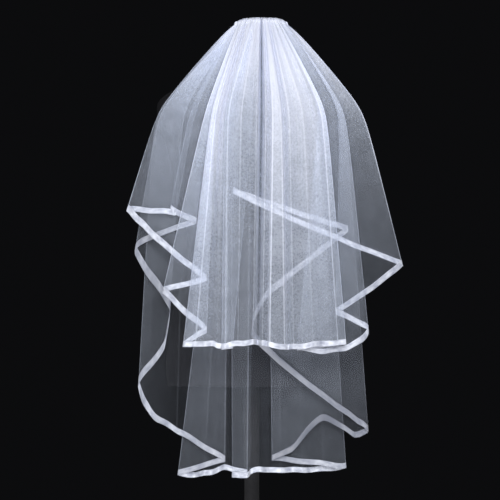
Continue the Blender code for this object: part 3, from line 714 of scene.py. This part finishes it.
class Shader:
    """Builds one material's nodes."""

    def __init__(self, name):
        self.material = bpy.data.materials.new(name)
        self.material.use_nodes = True
        self.tree = self.material.node_tree
        self.tree.nodes.clear()

    def node(self, kind, settings=None, **inputs):
        made = self.tree.nodes.new(kind)
        for field, value in (settings or {}).items():
            setattr(made, field, value)
        for key, value in inputs.items():
            where = int(key[2:]) if key.startswith("in") else key.replace("_", " ")
            socket = made.inputs[where]
            if isinstance(value, bpy.types.NodeSocket):
                self.tree.links.new(value, socket)
            else:
                socket.default_value = value
        return made

    def math(self, operation, first, second=0.0):
        return self.node("ShaderNodeMath", {"operation": operation}, in0=first, in1=second).outputs[0]

    def noise(self, vector, scale, detail=2.0, roughness=0.5):
        sizes = {"Scale": scale, "Detail": detail, "Roughness": roughness}
        return self.node("ShaderNodeTexNoise", Vector=vector, **sizes).outputs["Fac"]

    def blend(self, share, first, second):
        mix = self.node("ShaderNodeMix", {"data_type": "RGBA"}, in0=share, in6=first, in7=second)
        return mix.outputs[2]

    def stretched(self, vector, x, y, z=1.0):
        return self.node("ShaderNodeMapping", Vector=vector, Scale=(x, y, z)).outputs[0]

    def ranged(self, value, low, high, start=0.0, end=1.0):
        made = self.node("ShaderNodeMapRange", Value=value)
        for key, number in (("From Min", start), ("From Max", end), ("To Min", low), ("To Max", high)):
            made.inputs[key].default_value = number
        return made.outputs[0]

    def bump(self, height, strength, distance):
        return self.node("ShaderNodeBump", Height=height, Strength=strength, Distance=distance).outputs[0]

    def done(self, shader):
        self.node("ShaderNodeOutputMaterial", Surface=shader)
        return self.material


def tulle_material(name, net_weight):
    """Cool white net: sheer where it lies single and flat, milky where it is gathered or seen along its
    surface, and brightest along its pressed creases."""
    s = Shader(name)
    cloth = s.node("ShaderNodeUVMap", {"uv_map": "cloth"}).outputs[0]
    where = s.node("ShaderNodeTexCoord").outputs["Object"]
    density, distance, line = (
        s.node("ShaderNodeAttribute", {"attribute_name": field}).outputs["Fac"]
        for field in ("thicknesses", "from_fold", "fold_line")
    )
    specks = s.ranged(s.noise(where, SPECK_SCALE, 3.0, 0.65), *SPECKS, 0.3, 0.7)
    patches = s.ranged(s.noise(where, PATCH_SCALE), *PATCHES, 0.3, 0.7)
    drawn_down = s.stretched(cloth, STREAKS_ACROSS, STREAKS_DOWN)
    streaks = s.ranged(s.noise(drawn_down, 1.0, 2.0, 0.6), *STREAKS, 0.25, 0.75)
    net = s.node("ShaderNodeTexVoronoi", {"feature": "DISTANCE_TO_EDGE"}, Vector=cloth, Scale=NET_CELLS)
    threads = s.ranged(net.outputs["Distance"], *THREADS, 0.0, 0.25)
    near = s.math("POWER", s.math("DIVIDE", distance, CREASE_WIDTH), 2.0)
    pressed = s.math("MULTIPLY", s.math("EXPONENT", s.math("MULTIPLY", near, -1.0)), line)
    pressed = s.math("MULTIPLY", pressed, CREASE_GAIN)
    weight = s.math("MULTIPLY", density, net_weight)
    for factor in (specks, patches, streaks, threads, s.math("ADD", pressed, 1.0)):
        weight = s.math("MULTIPLY", weight, factor)
    facing = s.node("ShaderNodeLayerWeight", Blend=0.5).outputs["Facing"]
    slope = s.math("MAXIMUM", s.math("SUBTRACT", 1.0, facing), LEAST_SLOPE)
    through = s.math("EXPONENT", s.math("MULTIPLY", s.math("DIVIDE", weight, slope), -1.0))
    opacity = s.math("SUBTRACT", 1.0, through)
    white = s.blend(opacity, THIN_TULLE, DENSE_TULLE)
    threads_lit = s.node("ShaderNodeBsdfPrincipled", Base_Color=white, Roughness=NET_ROUGHNESS)
    threads_lit.inputs["Sheen Weight"].default_value = NET_SHEEN
    glow = s.node("ShaderNodeBsdfTranslucent", Color=white).outputs[0]
    body = s.node("ShaderNodeMixShader", in0=NET_GLOW, in1=threads_lit.outputs[0], in2=glow).outputs[0]
    clear = s.node("ShaderNodeBsdfTransparent").outputs[0]
    return s.done(s.node("ShaderNodeMixShader", in0=opacity, in1=clear, in2=body).outputs[0])


def satin_material():
    """White satin ribbon with fine ribs along it, a sewn line near its upper edge and soft shine, with
    painted shade in bands along it and where it lies behind the tulle.
    """
    s = Shader("satin")
    ribbon = s.node("ShaderNodeUVMap", {"uv_map": "ribbon"}).outputs[0]
    ribs = s.noise(s.stretched(ribbon, 20, 30), 1.0, 2.0, 0.6)
    # The tone mixes the ribs' own grain with long bands of painted shade along the ribbon, for the shade of
    # its twists.
    folds = s.noise(s.stretched(ribbon, 62, 1.1), 1.0, 2.0, 0.55)
    tone = s.ranged(s.math("ADD", s.math("MULTIPLY", ribs, 0.3), folds), 0.0, 1.0, 0.45, 0.9)
    # Painted shade on the ribbon's legs that lie behind the tulle.
    sheltered = s.node("ShaderNodeAttribute", {"attribute_name": "sheltered"}).outputs["Fac"]
    colour = s.blend(sheltered, s.blend(tone, SATIN_SHADE, SATIN_WHITE), SATIN_PAINTED_SHADE)
    parts = s.node("ShaderNodeSeparateXYZ", Vector=ribbon).outputs
    off_line = s.math("ABSOLUTE", s.math("SUBTRACT", parts[1], STITCH_PLACE))
    stitch = s.math("LESS_THAN", off_line, STITCH_HALF_WIDTH)
    dash = s.math("LESS_THAN", s.math("FRACT", s.math("MULTIPLY", parts[0], STITCHES)), STITCH_SHARE)
    height = s.math("ADD", s.math("MULTIPLY", ribs, 0.5), s.math("MULTIPLY", stitch, dash))
    normal = s.bump(height, 0.35, 0.0006)
    satin = s.node("ShaderNodeBsdfPrincipled", Base_Color=colour, Roughness=SATIN_ROUGHNESS, Normal=normal)
    satin.inputs["Sheen Weight"].default_value = SATIN_SHEEN
    satin.inputs["Anisotropic"].default_value = SATIN_GRAIN
    return s.done(satin.outputs[0])


def jersey_material():
    """Black knitted cover with a fine rib."""
    s = Shader("jersey")
    where = s.node("ShaderNodeTexCoord").outputs["Object"]
    ribs = s.noise(s.stretched(where, *JERSEY_RIBS), 1.0, 1.0)
    cloudy = s.noise(s.stretched(where, 9, 9, 9), 1.0, 4.0, 0.6)
    tone = s.ranged(s.math("MULTIPLY", ribs, cloudy), 0.5, 1.4, 0.1, 0.4)
    colour = s.blend(tone, JERSEY_DARK, JERSEY_LIGHT)
    normal = s.bump(ribs, 0.5, 0.0006)
    cover = s.node("ShaderNodeBsdfPrincipled", Base_Color=colour, Roughness=0.9, Normal=normal)
    cover.inputs["Specular IOR Level"].default_value = 0.15
    return s.done(cover.outputs[0])


def hard_material(finish):
    """A moulded or painted surface with faint unevenness."""
    s = Shader(finish.name)
    where = s.node("ShaderNodeTexCoord").outputs["Object"]
    marks = s.noise(s.stretched(where, finish.grain, finish.grain, finish.grain), 1.0, 5.0, 0.65)
    colour = s.blend(marks, (*finish.dark, 1), (*finish.light, 1))
    shine = s.ranged(marks, finish.roughness - 0.06, finish.roughness + 0.08, 0.3, 0.7)
    normal = s.bump(marks, finish.bump, 0.0004)
    made = s.node("ShaderNodeBsdfPrincipled", Base_Color=colour, Roughness=shine, Normal=normal)
    return s.done(made.outputs[0])


def make_veil():
    """Both tiers of tulle with their ribbons."""
    satin = satin_material()
    for tier, folds, side, net_weight, flat in (
        ("upper", UPPER_FOLDS, -1, UPPER_WEIGHT, UPPER_FLAT),
        ("lower", LOWER_FOLDS, 1, LOWER_WEIGHT, LOWER_FLAT),
    ):
        tulle = make_tulle(tier + "_tulle", folds, side, tulle_material(tier + "_net", net_weight))
        ribbon = make_ribbon(tier + "_satin", folds, side, satin)
        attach(tulle, "root")
        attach(ribbon, "root")
        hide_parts(tier + "_tier")
        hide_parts(tier + "_ribbon")


def make_form():
    """The body, its neck cap, the pole and the base with its collar. The cap's and the base's top edges are
    rounded and the collar's top edge is bevelled.
    """
    body = make_torso(jersey_material())
    neck_y = FORM_Y - NECK_BACK
    cap = rounded_edge(CAP_RADIUS, CAP_TOP_DROP, CAP_EDGE) + [(CAP_RADIUS, CAP_BOTTOM_DROP)]
    top = turned("cap_top", lean_x(CAP_TOP_DROP), neck_y, cap, hard_material(CAP_BLACK))
    base_top = VEIL_TOP - BASE_HEIGHT
    collar_top = base_top - COLLAR_HEIGHT
    foot = [(COLLAR_RADIUS - COLLAR_EDGE, collar_top), (COLLAR_RADIUS, collar_top + COLLAR_EDGE)]
    foot += [(COLLAR_RADIUS, base_top)] + rounded_edge(BASE_RADIUS, base_top, BASE_EDGE)
    foot += [(BASE_RADIUS, VEIL_TOP)]
    base = turned("stand_base", FORM_X, FORM_Y, foot, hard_material(BASE_PAINT))
    rod = [(POLE_RADIUS, TORSO_BOTTOM_DROP + SEAM_GAP), (POLE_RADIUS, collar_top - SEAM_GAP)]
    pole = turned("stand_pole", FORM_X, FORM_Y, rod, hard_material(POLE_PAINT))
    for piece, node, slot in (
        (body, "torso", "form"),
        (top, "neck_cap", "neck_cap"),
        (base, "base", "base"),
        (pole, "pole", "pole"),
    ):
        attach(piece, "root")
        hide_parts(node)


def finish_comb():
    """The comb keeps its solid, in clear plastic."""
    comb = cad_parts["comb"]
    comb.data.materials.clear()
    comb.data.materials.append(hard_material(COMB_CLEAR))


def make_stage():
    """A pale round floor in a dark studio."""
    s = Shader("floor")
    where = s.node("ShaderNodeTexCoord").outputs["Object"]
    cloudy = s.noise(s.stretched(where, 3, 3, 3), 1.0, 5.0, 0.6)
    colour = s.blend(cloudy, FLOOR_DARK, FLOOR_LIGHT)
    floor_paint = s.node("ShaderNodeBsdfPrincipled", Base_Color=colour, Roughness=FLOOR_ROUGHNESS)
    angle = round_angles(FLOOR_SIDES)
    across, deep = FLOOR_RADIUS * np.cos(angle), FLOOR_RADIUS * np.sin(angle)
    ring = np.stack([across, deep, np.full(FLOOR_SIDES, -FLOOR_GAP)], axis=-1)
    floor = new_object("floor", ring, [tuple(range(FLOOR_SIDES))], s.done(floor_paint.outputs[0]))
    world = bpy.data.worlds.new("dark_studio")
    world.use_nodes = True
    world.node_tree.nodes["Background"].inputs["Color"].default_value = (*WORLD_COLOUR, 1)
    bpy.context.scene.world = world


def make_lights():
    for row in SOFTBOXES:
        light = bpy.data.lights.new(row.name, "AREA")
        light.shape, light.size, light.energy = "SQUARE", row.size, row.power
        item = bpy.data.objects.new(row.name, light)
        item.location = row.place
        item.rotation_euler = (Vector(row.aim) - Vector(row.place)).to_track_quat("-Z", "Y").to_euler()
        bpy.context.scene.collection.objects.link(item)


def make_camera():
    """Level, behind the form, as in the photograph."""
    camera = bpy.data.cameras.new("camera")
    camera.sensor_width = SENSOR_MM
    camera.lens = SENSOR_MM * CAMERA_DISTANCE / FRAME_WIDTH
    item = bpy.data.objects.new("camera", camera)
    item.location = Vector(CAMERA_AIM) - Vector((0, CAMERA_DISTANCE, 0))
    item.rotation_euler = (np.pi / 2, 0, 0)
    bpy.context.scene.collection.objects.link(item)
    bpy.context.scene.camera = item


make_form()
make_veil()
finish_comb()
make_stage()
make_lights()
make_camera()
bpy.context.scene.view_settings.view_transform = "Standard"
